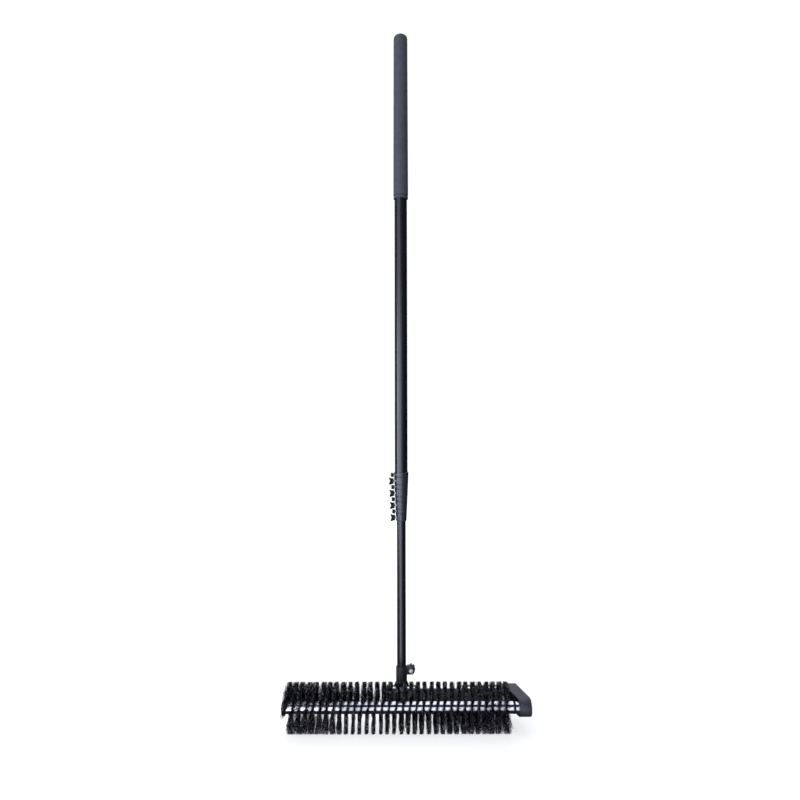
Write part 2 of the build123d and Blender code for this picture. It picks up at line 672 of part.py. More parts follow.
SEAL_RADIUS = 11
SEAL_ROUNDING = 1.1
with BuildPart() as seal_ring:
    with BuildSketch(roller_plane(CORE_RIGHT)):
        Circle(SEAL_RADIUS)
        Circle(AXLE_RADIUS + GAP, mode=Mode.SUBTRACT)
    extrude(amount=SEAL_WIDTH)
    fillet(edges().filter_by(GeomType.CIRCLE).group_by(SortBy.RADIUS)[-1], SEAL_ROUNDING)
seal_ring.part.label = "seal_ring"
export_step(seal_ring.part, "parts/seal_ring.step")

CAP_RADIUS = 14
CAP_DEPTH = 6
CAP_SPIGOT = 2
CAP_SPIGOT_WALL = 1.5
CAP_ROUNDING = 5
with BuildPart() as end_cap:
    with BuildSketch(roller_plane(CORE_LEFT - CAP_DEPTH)):
        Circle(CAP_RADIUS)
    extrude(amount=CAP_DEPTH)
    fillet(faces().sort_by(Axis.X)[0].edges(), CAP_ROUNDING)
    with BuildSketch(roller_plane(CORE_LEFT)):
        Circle(CORE_BORE)
        Circle(CORE_BORE - CAP_SPIGOT_WALL, mode=Mode.SUBTRACT)
    extrude(amount=CAP_SPIGOT)
end_cap.part.label = "end_cap"
export_step(end_cap.part, "parts/end_cap.step")

# The strip that holds the tufts is wound left-handed round the core, from the front of its left end.
STRIP_CLEAR = 0.02
STRIP_LEFT = -207.5
STRIP_TURNS = 32.5
TOP_TO_FRONT = 90
STRIP_CENTRE_RADIUS = CORE_RADIUS + STRIP_CLEAR + CHANNEL_HEIGHT / 2
STRIP_ORIGIN = Vector(STRIP_LEFT, AXLE_Y, above_floor(AXLE_HEIGHT))
with BuildPart() as bristle_channel:
    with BuildLine() as winding:
        helix = Helix(
            pitch=BRISTLE_PITCH,
            height=BRISTLE_PITCH * STRIP_TURNS,
            radius=STRIP_CENTRE_RADIUS,
            direction=(1, 0, 0),
            lefthand=True,
            mode=Mode.PRIVATE,
        )
        add(helix.rotate(Axis.X, TOP_TO_FRONT).moved(Location(STRIP_ORIGIN)))
    strip_end = winding.line @ 0
    with BuildSketch(Plane(origin=strip_end, x_dir=strip_end - STRIP_ORIGIN, z_dir=winding.line % 0)):
        Rectangle(CHANNEL_HEIGHT, CHANNEL_WIDTH)
    sweep(is_frenet=True)
bristle_channel.part.label = "bristle_channel"
export_step(bristle_channel.part, "parts/bristle_channel.step")

# The bristles are soft: a plain solid of thin discs on a thin wall, of their outer size.
BRISTLE_ROOT = CORE_RADIUS + CHANNEL_HEIGHT + 2 * STRIP_CLEAR
BRISTLE_WALL = 0.6
DISC_ROOT_WIDTH = 0.7
DISC_TIP_WIDTH = 1.1
with BuildPart() as bristle_helix:
    with BuildSketch(ROLLER_SECTION):
        with Locations(((BRISTLE_LEFT + BRISTLE_RIGHT) / 2, BRISTLE_ROOT + BRISTLE_WALL / 2)):
            Rectangle(BRISTLE_RIGHT - BRISTLE_LEFT, BRISTLE_WALL)
        for turn in range(BRISTLE_TURNS):
            with BuildLine():
                middle = BRISTLE_LEFT + (turn + 0.5) * BRISTLE_PITCH
                Polyline(
                    (middle - DISC_ROOT_WIDTH / 2, BRISTLE_ROOT),
                    (middle + DISC_ROOT_WIDTH / 2, BRISTLE_ROOT),
                    (middle + DISC_TIP_WIDTH / 2, ROLLER_RADIUS),
                    (middle - DISC_TIP_WIDTH / 2, ROLLER_RADIUS),
                    close=True,
                )
            make_face()
    revolve(axis=ROLLER_AXIS)
bristle_helix.part.label = "bristle_helix"
export_step(bristle_helix.part, "parts/bristle_helix.step")
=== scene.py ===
import json
import math

import bpy
import numpy as np
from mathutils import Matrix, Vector, noise

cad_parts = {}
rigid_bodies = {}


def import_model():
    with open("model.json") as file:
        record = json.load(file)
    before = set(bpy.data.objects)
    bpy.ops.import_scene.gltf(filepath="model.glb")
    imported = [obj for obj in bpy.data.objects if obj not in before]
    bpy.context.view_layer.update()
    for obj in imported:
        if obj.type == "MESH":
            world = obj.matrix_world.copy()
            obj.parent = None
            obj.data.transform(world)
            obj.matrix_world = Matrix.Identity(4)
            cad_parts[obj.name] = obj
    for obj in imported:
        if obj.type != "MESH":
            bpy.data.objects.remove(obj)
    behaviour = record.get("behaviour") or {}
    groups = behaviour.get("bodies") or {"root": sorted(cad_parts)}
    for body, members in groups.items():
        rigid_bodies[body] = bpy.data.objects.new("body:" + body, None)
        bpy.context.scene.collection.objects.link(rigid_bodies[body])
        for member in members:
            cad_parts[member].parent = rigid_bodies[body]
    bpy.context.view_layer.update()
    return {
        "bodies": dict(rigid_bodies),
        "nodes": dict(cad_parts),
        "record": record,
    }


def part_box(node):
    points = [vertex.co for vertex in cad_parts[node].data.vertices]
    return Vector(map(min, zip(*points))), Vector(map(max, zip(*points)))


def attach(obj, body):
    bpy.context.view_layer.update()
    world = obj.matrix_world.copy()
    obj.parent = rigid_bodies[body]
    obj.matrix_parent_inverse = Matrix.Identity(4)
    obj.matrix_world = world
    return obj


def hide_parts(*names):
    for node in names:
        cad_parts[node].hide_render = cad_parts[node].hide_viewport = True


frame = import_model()

# Looks of the roller brush sweeper. Metres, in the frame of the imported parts: +Z up the pole,
# the roller along X, and -Y towards the front, where the camera stands.
MM = 0.001
TURN = 2 * math.pi

# ---- materials ----
NOISE_RANGE = (0.3, 0.7)  # where nearly all of a noise texture's values lie
FULL_RANGE = (0.0, 1.0)
FLAT_TO_SHARP = (0.99, 0.86)  # cosine of the turn that rounding an edge would make
EDGE_MARK_PATCHES = (0.42, 0.62)
# how far sharp edges of moulded plastic go to their lighter colour, which is part wear and part painted
# highlight
EDGE_WEAR_AND_HIGHLIGHT = 0.35
EDGE_SAMPLES = 4
# the first below carries each strand's strength for the glints painted into the bristles' colour; the
# second is the noise range painted as bright glint specks
STRAND_GLINT = "strand_glint"
GLINT_SPECKS = (0.60, 0.64)


def math_node(tree, operation, first, second):
    """Result of an operation on two values, each a number or another node's output."""
    node = tree.nodes.new("ShaderNodeMath")
    node.operation = operation
    for socket, value in zip(node.inputs, (first, second)):
        if isinstance(value, (int, float)):
            socket.default_value = value
        else:
            tree.links.new(value, socket)
    return node.outputs["Value"]


class Look:
    """A Principled material, and the nodes that vary it over the surface in the object's own space."""

    def __init__(self, name, roughness, metallic=0.0, specular=0.5):
        self.material = bpy.data.materials.new(name)
        self.material.use_nodes = True
        self.tree = self.material.node_tree
        self.shader = self.tree.nodes["Principled BSDF"]
        self.space = self.node("TexCoord").outputs["Object"]
        self.fixed("Roughness", roughness)
        self.fixed("Metallic", metallic)
        self.fixed("Specular IOR Level", specular)

    def node(self, kind):
        return self.tree.nodes.new("ShaderNode" + kind)

    def link(self, output, socket):
        self.tree.links.new(output, socket)

    def fixed(self, socket, value):
        self.shader.inputs[socket].default_value = value

    def feed(self, socket, value):
        self.link(value, self.shader.inputs[socket])

    def coat(self, weight, roughness):
        self.fixed("Coat Weight", weight)
        self.fixed("Coat Roughness", roughness)

    def noise(self, size, detail=2.0, stretch=(1, 1, 1)):
        """Noise from 0 to 1 with features about size across, longer along an axis by its stretch."""
        mapping = self.node("Mapping")
        mapping.inputs["Scale"].default_value = [1 / s for s in stretch]
        self.link(self.space, mapping.inputs["Vector"])
        texture = self.node("TexNoise")
        texture.inputs["Scale"].default_value = 1 / size
        texture.inputs["Detail"].default_value = detail
        self.link(mapping.outputs["Vector"], texture.inputs["Vector"])
        return texture.outputs["Fac"]

    def clouds(self, size, detail=3):
        """Soft patches about size across, spread over the whole of 0 to 1."""
        return self.remap(self.noise(size, detail), NOISE_RANGE, FULL_RANGE)

    def cells(self, size):
        """Distance to the nearest of many scattered points about size apart: round dimples."""
        texture = self.node("TexVoronoi")
        texture.inputs["Scale"].default_value = 1 / size
        self.link(self.space, texture.inputs["Vector"])
        return texture.outputs["Distance"]

    def remap(self, value, source, target):
        """Takes the source range to the target range, held at both ends."""
        node = self.node("MapRange")
        for socket, number in zip(("From Min", "From Max", "To Min", "To Max"), (*source, *target)):
            node.inputs[socket].default_value = number
        self.link(value, node.inputs["Value"])
        return node.outputs["Result"]

    def times(self, first, second):
        return math_node(self.tree, "MULTIPLY", first, second)

    def mix(self, share, first, second):
        """Colour that goes from first to second as share goes from 0 to 1."""
        node = self.node("Mix")
        node.data_type = "RGBA"
        factor, a, b = node.inputs[0], node.inputs[6], node.inputs[7]
        self.link(share, factor)
        for socket, value in ((a, first), (b, second)):
            if isinstance(value, tuple):
                socket.default_value = (*value, 1)
            else:
                self.link(value, socket)
        return node.outputs[2]

    def edges(self, radius, patch):
        """1 along sharp edges and 0 elsewhere, broken up by noise of a patch's size."""
        bevel = self.node("Bevel")
        bevel.samples = EDGE_SAMPLES
        bevel.inputs["Radius"].default_value = radius
        dot = self.node("VectorMath")
        dot.operation = "DOT_PRODUCT"
        self.link(bevel.outputs["Normal"], dot.inputs[0])
        self.link(self.node("NewGeometry").outputs["Normal"], dot.inputs[1])
        sharp = self.remap(dot.outputs["Value"], FLAT_TO_SHARP, FULL_RANGE)
        patches = self.remap(self.noise(patch, detail=3), EDGE_MARK_PATCHES, FULL_RANGE)
        return self.times(sharp, patches)

    def bump(self, height, depth):
        """Adds relief of a depth to the surface, on top of any that is there."""
        node = self.node("Bump")
        node.inputs["Distance"].default_value = depth
        self.link(height, node.inputs["Height"])
        below = self.shader.inputs["Normal"].links
        if below:
            self.link(below[0].from_socket, node.inputs["Normal"])
        self.feed("Normal", node.outputs["Normal"])


def foam_look():
    look = Look("closed_cell_foam", roughness=0.85, specular=0.3)
    patches = look.clouds(9 * MM)
    pores = look.cells(0.9 * MM)
    tone = look.mix(patches, (0.052, 0.054, 0.066), (0.070, 0.073, 0.088))
    pore_shade = look.times(look.remap(pores, (0.05, 0.3), (1.0, 0.0)), 0.5)
    look.feed("Base Color", look.mix(pore_shade, tone, (0.03, 0.032, 0.04)))
    look.feed("Roughness", look.remap(patches, FULL_RANGE, (0.72, 0.9)))
    look.bump(look.noise(5 * MM), depth=0.25 * MM)
    look.bump(pores, depth=0.10 * MM)
    return look.material


def tube_look():
    """Satin black powder coat with faint scuffs along the pole."""
    look = Look("satin_black_coat", roughness=0.30)
    look.coat(weight=0.25, roughness=0.22)
    cloud = look.noise(30 * MM, detail=3)
    look.feed("Base Color", look.mix(cloud, (0.005, 0.0052, 0.007), (0.010, 0.0104, 0.013)))
    scuffs = look.noise(0.7 * MM, detail=3, stretch=(1, 1, 45))
    look.feed("Roughness", look.remap(scuffs, (0.35, 0.7), (0.27, 0.38)))
    look.bump(look.noise(1.6 * MM, detail=1), depth=0.010 * MM)
    look.bump(look.noise(0.35 * MM, detail=1), depth=0.004 * MM)
    return look.material


def moulded_look(name, dark, light, worn_and_highlit, roughness, grain, depth):
    """Moulded plastic: cloudy colour, fine grain of a depth, and sharp edges lighter, part from wear and
    part painted highlight.
    """
    look = Look(name, roughness)
    cloud = look.clouds(6 * MM)
    # sharp edges lighter: part wear, part painted highlight
    rubbed_and_highlit = look.times(look.edges(0.5 * MM, patch=1.5 * MM), EDGE_WEAR_AND_HIGHLIGHT)
    look.feed("Base Color", look.mix(rubbed_and_highlit, look.mix(cloud, dark, light), worn_and_highlit))
    look.feed("Roughness", look.remap(cloud, FULL_RANGE, (roughness - 0.05, roughness + 0.06)))
    look.bump(look.noise(grain), depth)
    return look


def ring_look():
    look = moulded_look(
        "satin_ring_plastic",
        dark=(0.020, 0.021, 0.028),
        light=(0.030, 0.031, 0.041),
        worn_and_highlit=(0.15, 0.155, 0.17),
        roughness=0.32,
        grain=0.3 * MM,
        depth=0.010 * MM,
    )
    look.coat(weight=0.35, roughness=0.22)
    return look.material


def black_look():
    look = moulded_look(
        "black_moulded_plastic",
        dark=(0.012, 0.012, 0.015),
        light=(0.020, 0.020, 0.024),
        worn_and_highlit=(0.08, 0.08, 0.09),
        roughness=0.36,
        grain=0.3 * MM,
        depth=0.008 * MM,
    )
    return look.material


def rough_look():
    look = moulded_look(
        "spark_eroded_plastic",
        dark=(0.014, 0.015, 0.019),
        light=(0.024, 0.025, 0.031),
        worn_and_highlit=(0.09, 0.092, 0.1),
        roughness=0.50,
        grain=0.5 * MM,
        depth=0.05 * MM,
    )
    look.bump(look.cells(1.3 * MM), depth=0.16 * MM)
    return look.material


def arm_look():
    look = moulded_look(
        "grained_arm_plastic",
        dark=(0.026, 0.026, 0.034),
        light=(0.036, 0.036, 0.046),
        worn_and_highlit=(0.13, 0.13, 0.145),
        roughness=0.46,
        grain=0.35 * MM,
        depth=0.02 * MM,
    )
    return look.material


def nylon_look():
    look = moulded_look(
        "natural_nylon",
        dark=(0.40, 0.38, 0.33),
        light=(0.50, 0.48, 0.42),
        worn_and_highlit=(0.6, 0.58, 0.52),
        roughness=0.5,
        grain=0.4 * MM,
        depth=0.01 * MM,
    )
    return look.material


def painted_plate_look():
    """Grey paint with light scratches along the plate, with wear down to the metal in places along its
    edges.
    """
    look = Look("grey_paint", roughness=0.42)
    cloud = look.noise(14 * MM, detail=4)
    scratch_lines = look.noise(0.5 * MM, stretch=(30, 1, 1))
    scratches = look.remap(scratch_lines, (0.62, 0.74), (0.0, 0.5))
    paint = look.mix(cloud, (0.170, 0.173, 0.195), (0.210, 0.214, 0.240))
    scuffed = look.mix(scratches, paint, (0.22, 0.225, 0.24))
    bare = look.times(look.edges(0.45 * MM, patch=2.5 * MM), 0.7)
    look.feed("Base Color", look.mix(bare, scuffed, (0.42, 0.43, 0.45)))
    look.feed("Metallic", bare)
    look.feed("Roughness", look.remap(cloud, NOISE_RANGE, (0.36, 0.5)))
    look.bump(look.noise(1.8 * MM), depth=0.02 * MM)
    return look.material


def metal_look(name, dark, light, smooth, dull, stretch=(1, 1, 1), lines=0.004 * MM, metallic=1.0):
    """Bare or plated steel with machining lines of a depth, long where stretch is large."""
    look = Look(name, smooth, metallic=metallic)
    grooves = look.noise(0.22 * MM, stretch=stretch)
    look.feed("Base Color", look.mix(look.clouds(3.5 * MM, detail=4), dark, light))
    look.feed("Roughness", look.remap(grooves, NOISE_RANGE, (smooth, dull)))
    look.bump(grooves, lines)
    return look.material


def rubber_look():
    look = Look("black_rubber", roughness=0.55, specular=0.4)
    bloom = look.noise(2.5 * MM, detail=4)
    look.feed("Base Color", look.mix(bloom, (0.010, 0.010, 0.011), (0.022, 0.022, 0.025)))
    look.feed("Roughness", look.remap(bloom, NOISE_RANGE, (0.45, 0.65)))
    look.bump(look.noise(0.4 * MM), depth=0.012 * MM)
    return look.material


def bristle_look():
    """Black nylon with painted highlights: bright glint specks are painted into its colour, in place of
    light caught by the crimped strands' bends, and each strand scales them by its own strength.
    """
    look = Look("black_nylon", roughness=0.30)
    glint_attribute = look.node("Attribute")
    glint_attribute.attribute_name = STRAND_GLINT
    glint_specks = look.remap(look.noise(3.4 * MM, detail=1), GLINT_SPECKS, FULL_RANGE)
    painted_glint = look.times(glint_specks, glint_attribute.outputs["Fac"])
    # painted highlight: near-black nylon with bright glint specks painted into its colour
    look.feed("Base Color", look.mix(painted_glint, (0.0012, 0.0012, 0.0020), (0.62, 0.62, 0.67)))
    look.feed("Roughness", look.remap(painted_glint, FULL_RANGE, (0.5, 0.25)))
    look.feed("Specular IOR Level", look.remap(painted_glint, FULL_RANGE, (0.08, 0.8)))
    look.bump(look.noise(0.8 * MM), depth=0.02 * MM)
    return look.material


LOOKS = {
    "foam": foam_look(),
    "black_tube": tube_look(),
    "ring_plastic": ring_look(),
    "black_plastic": black_look(),
    "rough_plastic": rough_look(),
    "arm_plastic": arm_look(),
    "inner_plastic": nylon_look(),
    "grey_plate": painted_plate_look(),
    "zinc_steel": metal_look(
        "bright_zinc",
        dark=(0.80, 0.82, 0.85),
        light=(0.92, 0.93, 0.94),
        smooth=0.40,
        dull=0.55,
        metallic=0.55,
    ),
    "polished_steel": metal_look(
        "polished_steel",
        dark=(0.66, 0.67, 0.70),
        light=(0.76, 0.77, 0.79),
        smooth=0.10,
        dull=0.20,
        stretch=(1, 60, 60),
        lines=0.002 * MM,
    ),
    "channel_steel": metal_look(
        "dark_strip", dark=(0.10, 0.10, 0.11), light=(0.20, 0.20, 0.21), smooth=0.35, dull=0.55
    ),
    "black_rubber": rubber_look(),
    "bristles": bristle_look(),
}
SLOT_OF = {row["node"]: row["material_slot"] for row in frame["record"]["subparts"]}
for node_name, node in frame["nodes"].items():
    node.data.materials.clear()
    node.data.materials.append(LOOKS[SLOT_OF[node_name]])

# ---- softened edges on the moulded and pressed parts ----
WELD_GAP = 0.002 * MM
ROUNDING_SEGMENTS = 2
ROUNDED_FROM = math.radians(35)
SOFTENED = {
    "bracket_plate": 0.35 * MM,
    "side_arm": 0.2 * MM,
    "square_heads": 0.3 * MM,
    **{f"clamp_ring_{number}": 0.5 * MM for number in range(1, 9)},
}


def soften(node_name, width):
    """Rounds the sharp edges of a part as shown, and leaves its own mesh alone."""
    node = frame["nodes"][node_name]
    weld = node.modifiers.new("weld", "WELD")
    weld.merge_threshold = WELD_GAP
    bevel = node.modifiers.new("round_edges", "BEVEL")
    bevel.width = width
    bevel.segments = ROUNDING_SEGMENTS
    bevel.limit_method = "ANGLE"
    bevel.angle_limit = ROUNDED_FROM
    bevel.harden_normals = True


for node_name, width in SOFTENED.items():
    soften(node_name, width)


# ---- mesh helpers ----
def new_piece(name, vertices, faces, slot, body, replaced):
    """A smooth piece that rides on a body and stands for the replaced part."""
    mesh = bpy.data.meshes.new(name)
    mesh.from_pydata(vertices, [], faces)
    mesh.materials.append(LOOKS[slot])
    mesh.shade_smooth()
    piece = bpy.data.objects.new(name, mesh)
    bpy.context.scene.collection.objects.link(piece)
    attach(piece, body)
    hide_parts(replaced)
    return piece


def ring_faces(rings, segments):
    """Quads between rings of points, in order, each ring with the same number of segments."""
    faces = []
    for ring in range(rings - 1):
        for side in range(segments):
            following = (side + 1) % segments
            low, high = ring * segments, (ring + 1) * segments
            faces.append((low + side, low + following, high + following, high + side))
    return faces


# ---- foam grip ----
GRIP_SEGMENTS = 128
GRIP_STEP = 1.2 * MM
GRIP_SHARP_FROM = math.radians(50)
FOAM_UNEVEN = 0.10 * MM
FOAM_LUMP = 7 * MM
LIP_HEIGHT = 4.4 * MM
LIP_INSET = 0.3 * MM
GROOVE_WIDTH = 2.4 * MM
GROOVE_DEPTH = 1.55 * MM
GROOVE_LOWER_SLOPE = 0.3 * MM
GROOVE_UPPER_SLOPE = 0.2 * MM
GRIP_TOP_ROUNDING = 8 * MM
GRIP_TOP_RADIUS = 13 * MM
ARC_STEPS = 10
EDGE_RADIUS = 0.6 * MM
LIP_EDGE = 0.2 * EDGE_RADIUS
BODY_EDGE = 0.3 * EDGE_RADIUS


def grip_profile():
    """(radius, height) from the hole's lower edge over the outside to the top, and the groove's height."""
    low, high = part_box("grip_sleeve")
    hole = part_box("upper_tube")[1].x
    bottom_radius = high.x
    lip = bottom_radius - LIP_INSET
    groove = low.z + LIP_HEIGHT
    body = groove + GROOVE_WIDTH
    points = [
        (hole, low.z),
        (lip - EDGE_RADIUS, low.z),
        (lip - LIP_EDGE, low.z + LIP_EDGE),
        (lip, low.z + EDGE_RADIUS),
        (lip, groove - GROOVE_LOWER_SLOPE),
        (lip - GROOVE_DEPTH, groove),
        (lip - GROOVE_DEPTH, body - GROOVE_UPPER_SLOPE),
        (bottom_radius - 2 * EDGE_RADIUS, body),
        (bottom_radius - BODY_EDGE, body + BODY_EDGE),
    ]
    shoulder = high.z - GRIP_TOP_ROUNDING
    steps = int((shoulder - body - EDGE_RADIUS) / GRIP_STEP)
    for step in range(steps + 1):
        share = step / steps
        height = body + EDGE_RADIUS + share * (shoulder - body - EDGE_RADIUS)
        points.append((bottom_radius + share * (GRIP_TOP_RADIUS - bottom_radius), height))
    flat = GRIP_TOP_RADIUS - GRIP_TOP_ROUNDING
    for step in range(1, ARC_STEPS + 1):
        angle = math.pi / 2 * step / ARC_STEPS
        points.append(
            (flat + GRIP_TOP_ROUNDING * math.cos(angle), shoulder + GRIP_TOP_ROUNDING * math.sin(angle))
        )
    return points, groove


def foam_grip():
    rows, groove = grip_profile()
    angles = [TURN * side / GRIP_SEGMENTS for side in range(GRIP_SEGMENTS)]
    vertices = []
    for radius, height in rows:
        swell = 1 if height > groove else 0
        for angle in angles:
            place = Vector((radius * math.cos(angle), radius * math.sin(angle), height))
            uneven = swell * FOAM_UNEVEN * (noise.noise(place / FOAM_LUMP) - 0.5)
            vertices.append(
                ((radius + uneven) * math.cos(angle), (radius + uneven) * math.sin(angle), height)
            )
    faces = ring_faces(len(rows), GRIP_SEGMENTS)
    top = len(vertices)
    vertices.append((0, 0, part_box("grip_sleeve")[1].z))
    last = (len(rows) - 1) * GRIP_SEGMENTS
    for side in range(GRIP_SEGMENTS):
        faces.append((last + side, last + (side + 1) % GRIP_SEGMENTS, top))
    # the hole, from its mouth up to the closed end over the plug
    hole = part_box("upper_tube")[1].x
    hole_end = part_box("pole_end_plug")[1].z
    hole_start = len(vertices)
    vertices += [(hole * math.cos(angle), hole * math.sin(angle), hole_end) for angle in angles]
    hole_centre = len(vertices)
    vertices.append((0, 0, hole_end))
    for side in range(GRIP_SEGMENTS):
        following = (side + 1) % GRIP_SEGMENTS
        faces.append((following, side, hole_start + side, hole_start + following))
        faces.append((hole_start + following, hole_start + side, hole_centre))
    grip = new_piece("foam_grip", vertices, faces, "foam", "handle", "grip_sleeve")
    grip.data.set_sharp_from_angle(angle=GRIP_SHARP_FROM)


foam_grip()

# ---- threads on the screws ----
SCREW_AZIMUTH = math.radians(205)
SCREW_OUT = Vector((math.cos(SCREW_AZIMUTH), math.sin(SCREW_AZIMUTH), 0))
KNOB_OUT = Vector((0, -1, 0))
SCREW_REACH = 4 * MM
THREAD_SEGMENTS = 24
STEPS_PER_THREAD = 6
FEWEST_STEPS = 8
THREAD_PITCH = 0.7 * MM
THREAD_DEPTH = 0.28 * MM
THREAD_SHARP_FROM = math.radians(75)


def threaded_rod(start, end, radius):
    """Closed rod from start to end with one helical thread: (vertices, faces)."""
    along = (end - start).normalized()
    across = along.orthogonal().normalized()
    third = along.cross(across)
    length = (end - start).length
    rings = max(FEWEST_STEPS, int(length / THREAD_PITCH * STEPS_PER_THREAD)) + 1
    vertices = []
    for ring in range(rings):
        distance = length * ring / (rings - 1)
        for side in range(THREAD_SEGMENTS):
            angle = TURN * side / THREAD_SEGMENTS
            phase = (distance / THREAD_PITCH - side / THREAD_SEGMENTS) % 1
            crest = radius - THREAD_DEPTH * abs(2 * phase - 1)
            outward = math.cos(angle) * across + math.sin(angle) * third
            vertices.append(start + along * distance + crest * outward)
    faces = ring_faces(rings, THREAD_SEGMENTS)
    faces.append(tuple(reversed(range(THREAD_SEGMENTS))))
    faces.append(tuple(range((rings - 1) * THREAD_SEGMENTS, rings * THREAD_SEGMENTS)))
    return vertices, faces


def rod_ends(node_name, along, near_height=None):
    """Start, end and radius of a round rod of a part, found from its mesh along a direction."""
    points = [v.co for v in frame["nodes"][node_name].data.vertices]
    if near_height is not None:
        points = [p for p in points if abs(p.z - near_height) < SCREW_REACH]
    distances = [p.dot(along) for p in points]
    middle = sum(points, Vector()) / len(points)
    centre = middle - along * middle.dot(along)
    low_z, high_z = min(p.z for p in points), max(p.z for p in points)
    centre.z = (low_z + high_z) / 2
    return centre + along * min(distances), centre + along * max(distances), (high_z - low_z) / 2


def threaded(name, ends, body, replaced):
    """One piece with a threaded rod for each (start, end, radius) in ends."""
    vertices, faces = [], []
    for start, end, radius in ends:
        more, more_faces = threaded_rod(start, end, radius)
        faces += [tuple(i + len(vertices) for i in face) for face in more_faces]
        vertices += more
    piece = new_piece(name, vertices, faces, "zinc_steel", body, replaced)
    piece.data.set_sharp_from_angle(angle=THREAD_SHARP_FROM)


for number in range(1, 5):
    stud = f"wing_stud_{number}"
    threaded(f"wing_thread_{number}", [rod_ends(stud, SCREW_OUT)], f"wing_screw_{number}", stud)
short_rings = [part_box(f"clamp_ring_{number}") for number in (1, 3, 5, 7)]
square_ends = [rod_ends("square_screws", SCREW_OUT, (low.z + high.z) / 2) for low, high in short_rings]
threaded("square_screw_threads", square_ends, "handle", "square_screws")
threaded("knob_thread", [rod_ends("knob_stud", KNOB_OUT)], "knob", "knob_stud")

# ---- bristles ----
brush_low, brush_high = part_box("bristle_helix")
strip_low, strip_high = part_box("bristle_channel")
core_low, core_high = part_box("core_tube")
AXIS_Y = (core_low.y + core_high.y) / 2
AXIS_Z = (core_low.z + core_high.z) / 2
BRUSH_RADIUS = (brush_high.z - brush_low.z) / 2
STRIP_RADIUS = (strip_high.z - strip_low.z) / 2
DISCS = 33  # in the CAD's plain stand-in, one pitch of the winding apart
BRISTLE_PITCH = (brush_high.x - brush_low.x) / DISCS
STRIP_TURNS = 32.5
STRIP_HALF_WIDTH = 1.67 * MM
STRIP_START = strip_low.x + STRIP_HALF_WIDTH
BRUSH_SEED = 21
BRUSH_PIECES = 4
STRANDS_PER_TURN = 1200

# one strand
STRAND_SIDES = 3
STRAND_RINGS = (0.0, 0.5, 1.0)
ROOT_THICK = 0.20 * MM
TIP_THICK = 0.14 * MM
ROOT_DEPTH = 0.5 * MM
TIP_CLEARANCE = 0.1 * MM
RAGGED = 0.6 * MM
CURVE = 0.5 * MM
LEAN = 0.45 * MM
LEAN_BEND = 0.6
SWAY = 0.9 * MM
SWAY_BEND = 1.5
# least strength of a strand's painted glints, against its clump's
DIMMEST_STRAND_GLINT = 0.5

# clumps, in which neighbouring strands lean the same way and share the strength of their painted glints
CLUMPS_PER_TURN = 70
CLUMP_LEAN = 0.8 * MM
CLUMP_SWAY = 0.9 * MM
CLUMP_PULL = 0.45
CLUMP_RAGGED = 0.5 * RAGGED
# how unevenly clumps show their painted glints, and the least strength a clump gives them
CLUMP_GLINT_CONTRAST = 1.6
DIMMEST_CLUMP_GLINT = 0.35

# the winding: how wide it fans out, and how far it wanders
ROOT_SPREAD = 1.15 * MM
TIP_SPREAD = 2.3 * MM
UPPER_FAN = 0.4
WANDER = 0.8 * MM
WANDER_KNOTS_PER_TURN = 3
TIGHT_TURNS = 1.5
LEFT_FLARE = 2.5
LEFT_FLARE_TURNS = 9
RIGHT_FLARE = 1.7
RIGHT_FLARE_TURNS = 12
FLARE_LEVEL = 0.55  # share of a flare at the roller's front and back
FLARE_DROP = 0.45  # added to that share below the roller, and taken off it above

# the brush's two ends
SPLAY = 2.6 * MM
SPLAY_RANGE = (0.2, 1.2)
SPLAY_TURNS = 0.7
LEFT_SPLAY = 0.4
RIGHT_SPLAY = 0.4
RIGHT_SPLAY_DROP = 0.6
SAG = 6 * MM
SAG_TURNS = 1.6
STRAY_SHARE = 0.02
STRAY_LEAN = 8 * MM


def strand_mesh(turns, across, reach, lean, sway, curl, random):
    """Vertices and faces of one tapered strand for each entry of the arrays, and its count of vertices."""
    count = len(turns)
    angle = TURN * turns
    root_x = STRIP_START + BRISTLE_PITCH * turns + across * ROOT_SPREAD
    zero = np.zeros(count)
    outward = np.stack([zero, -np.cos(angle), np.sin(angle)], 1)
    onward = np.stack([zero, np.sin(angle), np.cos(angle)], 1)
    sideways = np.array([1.0, 0.0, 0.0])
    root = STRIP_RADIUS - ROOT_DEPTH
    tip = np.sqrt(reach**2 - sway**2)
    spin = random.uniform(0, TURN, count)
    rings = []
    for share in STRAND_RINGS:
        bow = curl * math.sin(math.pi * share)
        centre = np.zeros((count, 3))
        centre[:, 0] = root_x + lean * share**LEAN_BEND
        centre[:, 1] = AXIS_Y
        centre[:, 2] = AXIS_Z
        centre += outward * (root + (tip - root) * share)[:, None]
        centre += onward * (sway * share**SWAY_BEND + bow)[:, None]
        thick = ROOT_THICK + (TIP_THICK - ROOT_THICK) * share
        for side in range(STRAND_SIDES):
            turn = spin + TURN * side / STRAND_SIDES
            offset = np.cos(turn)[:, None] * sideways + np.sin(turn)[:, None] * onward
            rings.append(centre + thick * offset)
    each = len(rings)
    first = np.arange(count)[:, None] * each
    root_cap = list(reversed(range(STRAND_SIDES)))
    tip_cap = list(range(each - STRAND_SIDES, each))
    template = np.array(ring_faces(len(STRAND_RINGS), STRAND_SIDES))
    quads = (first[:, None] + template[None]).reshape(-1, 4)
    faces = quads.tolist() + (first + tip_cap).tolist() + (first + root_cap).tolist()
    return np.stack(rings, 1).reshape(-1, 3), faces, each


def uneven_winding(random):
    """How far the tips stray along the roller at each place on the winding: (turns, distances)."""
    knots = int(STRIP_TURNS * WANDER_KNOTS_PER_TURN) + 1
    return np.linspace(0, STRIP_TURNS, knots), random.normal(0, WANDER, knots)


def fade(distance, span):
    """1 where the distance is 0, and down to 0 at the span."""
    return np.clip(1 - distance / span, 0, 1)


